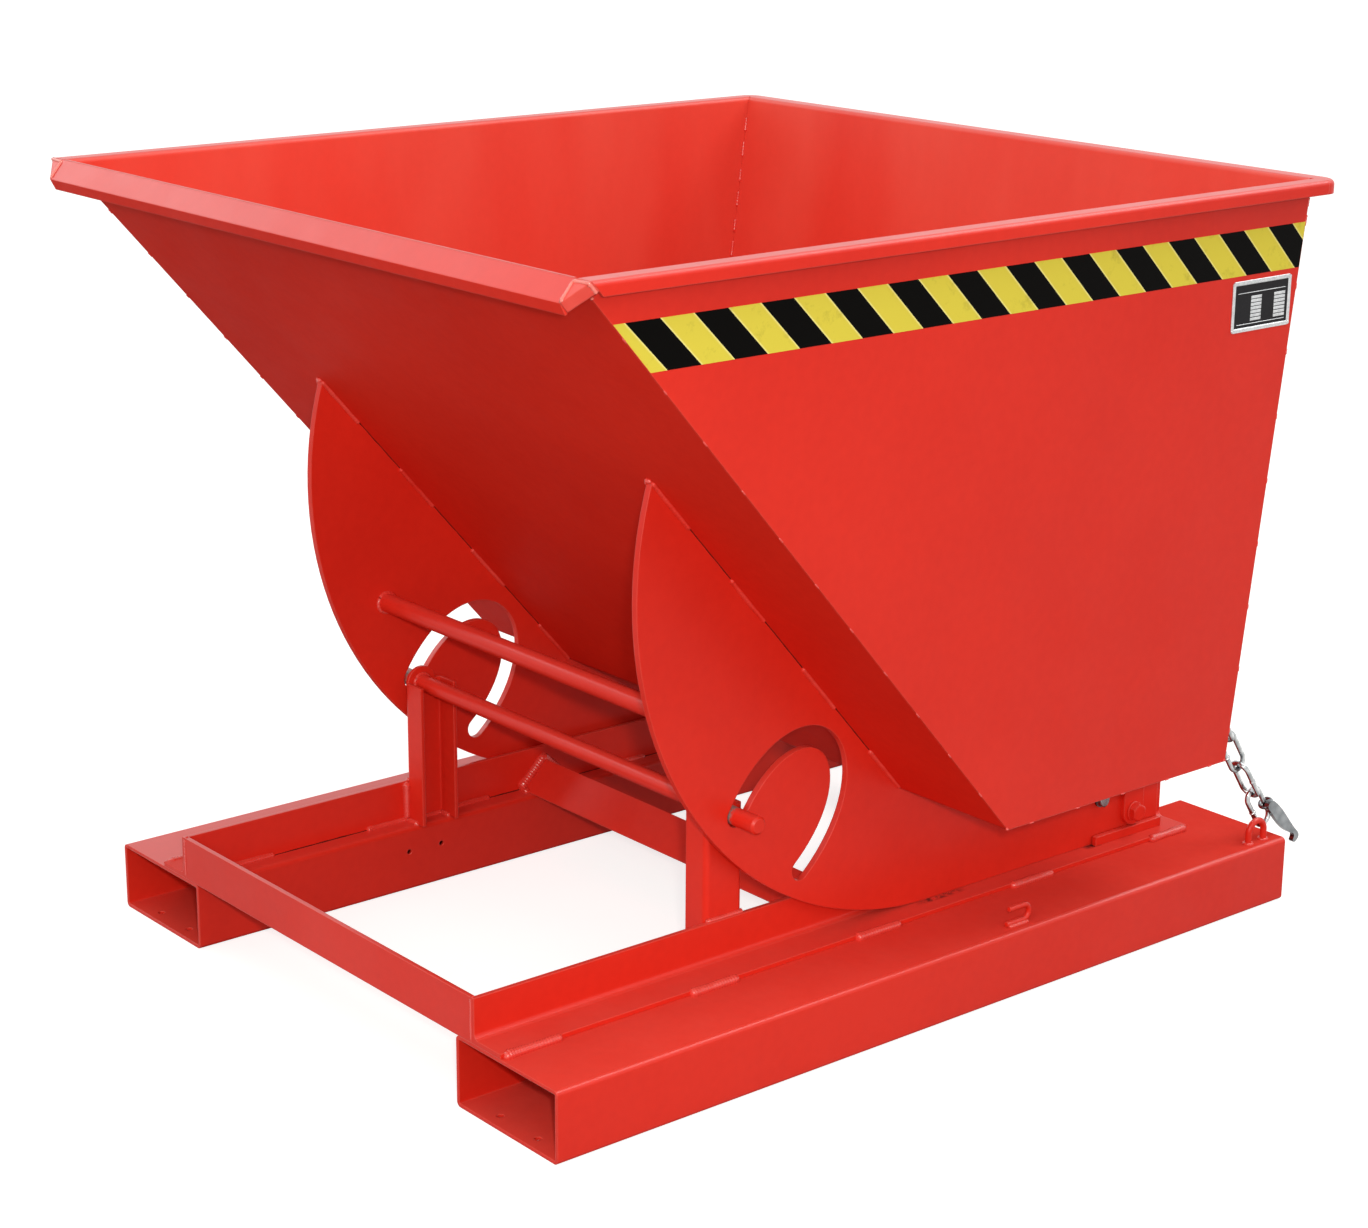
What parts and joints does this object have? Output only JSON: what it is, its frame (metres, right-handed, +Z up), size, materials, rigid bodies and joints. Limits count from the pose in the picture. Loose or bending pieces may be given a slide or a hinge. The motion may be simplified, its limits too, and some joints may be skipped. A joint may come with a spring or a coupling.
{
  "type": "tipping hopper",
  "caption": "Red steel self-tipping hopper whose open wedge-shaped bin rolls forward on slotted rockers over a frame with fork pockets, held shut by a safety chain.",
  "frame": {"origin": "on the ground, in the middle of the overall length and width", "axes": "+Z up, -Y towards the pouring lip, +X across to the side with the data plate and the chain"},
  "size_m": [1.242, 1.464, 1.113],
  "materials": {
    "red_enamel": "semi-gloss",
    "zinc_plated_steel": "satin",
    "forged_steel": "matt",
    "plate_aluminium": "satin",
    "tape_film": "gloss"
  },
  "bodies": {
    "base": {"fork_pocket_left": "red_enamel", "fork_pocket_right": "red_enamel", "rail_left": "red_enamel", "rail_right": "red_enamel", "front_cross_angle": "red_enamel", "middle_cross_angle": "red_enamel", "rear_cross_angle": "red_enamel", "guide_post_left": "red_enamel", "guide_post_right": "red_enamel", "guide_rod": "red_enamel", "guide_bar_left": "red_enamel", "guide_bar_right": "red_enamel", "chain_eye": "red_enamel", "park_hook": "red_enamel"},
    "carriage": {"centre_rivet": "zinc_plated_steel"},
    "hopper": {"chute_wall": "red_enamel", "bottom_plate": "red_enamel", "back_wall": "red_enamel", "side_wall_right": "red_enamel", "side_wall_left": "red_enamel", "front_lip": "red_enamel", "lip_corner_right": "red_enamel", "lip_corner_left": "red_enamel", "rim_corner_right": "red_enamel", "rim_corner_left": "red_enamel", "rocker_right": "red_enamel", "rocker_left": "red_enamel", "tie_rod": "red_enamel", "rear_lug_right": "red_enamel", "rear_lug_left": "red_enamel", "lug_washers": "red_enamel", "lug_bolts": "red_enamel", "plated_washers": "zinc_plated_steel", "plated_bolts": "zinc_plated_steel", "data_plate": "plate_aluminium", "data_plate_rivets": "plate_aluminium", "hazard_tape_right": "tape_film", "hazard_tape_left": "tape_film", "chain_anchor": "red_enamel"},
    "chain_link_1": {"chain_link_1": "zinc_plated_steel"},
    "chain_link_2": {"chain_link_2": "zinc_plated_steel"},
    "chain_link_3": {"chain_link_3": "zinc_plated_steel"},
    "chain_link_4": {"chain_link_4": "zinc_plated_steel"},
    "chain_link_5": {"chain_link_5": "zinc_plated_steel"},
    "chain_hook": {"chain_hook": "forged_steel"}
  },
  "joints": [
    {"name": "hopper_travel", "type": "slide", "parent": "base", "child": "carriage", "axis": [0, -1, 0], "range_m": [0, 0.6678]},
    {"name": "hopper_tip", "type": "hinge", "parent": "carriage", "child": "hopper", "pos_m": [0, 0.075, 0.638], "axis": [1, 0, 0], "range_deg": [0, 72]},
    {"name": "chain_link_1_swing", "type": "hinge", "parent": "hopper", "child": "chain_link_1", "pos_m": [0.506, 0.49472, 0.37666], "axis": [1, 0, 0], "range_deg": [0, 12]},
    {"name": "chain_link_2_swing", "type": "hinge", "parent": "chain_link_1", "child": "chain_link_2", "pos_m": [0.506, 0.52827, 0.32619], "axis": [0, 0.8328, 0.5536], "range_deg": [0, 12]},
    {"name": "chain_link_3_swing", "type": "hinge", "parent": "chain_link_2", "child": "chain_link_3", "pos_m": [0.506, 0.56237, 0.27489], "axis": [1, 0, 0], "range_deg": [0, 12]},
    {"name": "chain_link_4_swing", "type": "hinge", "parent": "chain_link_3", "child": "chain_link_4", "pos_m": [0.506, 0.59647, 0.22359], "axis": [0, 0.8328, 0.5536], "range_deg": [0, 12]},
    {"name": "chain_link_5_swing", "type": "hinge", "parent": "chain_link_4", "child": "chain_link_5", "pos_m": [0.506, 0.63058, 0.1723], "axis": [1, 0, 0], "range_deg": [0, 12]},
    {"name": "chain_hook_swing", "type": "hinge", "parent": "chain_link_5", "child": "chain_hook", "pos_m": [0.506, 0.65587, 0.14636], "axis": [1, 0, 0], "range_deg": [0, 35]}
  ],
  "couplings": [
    {"joint": "hopper_travel", "follows": "hopper_tip", "m_per_rad": 0.531}
  ]
}
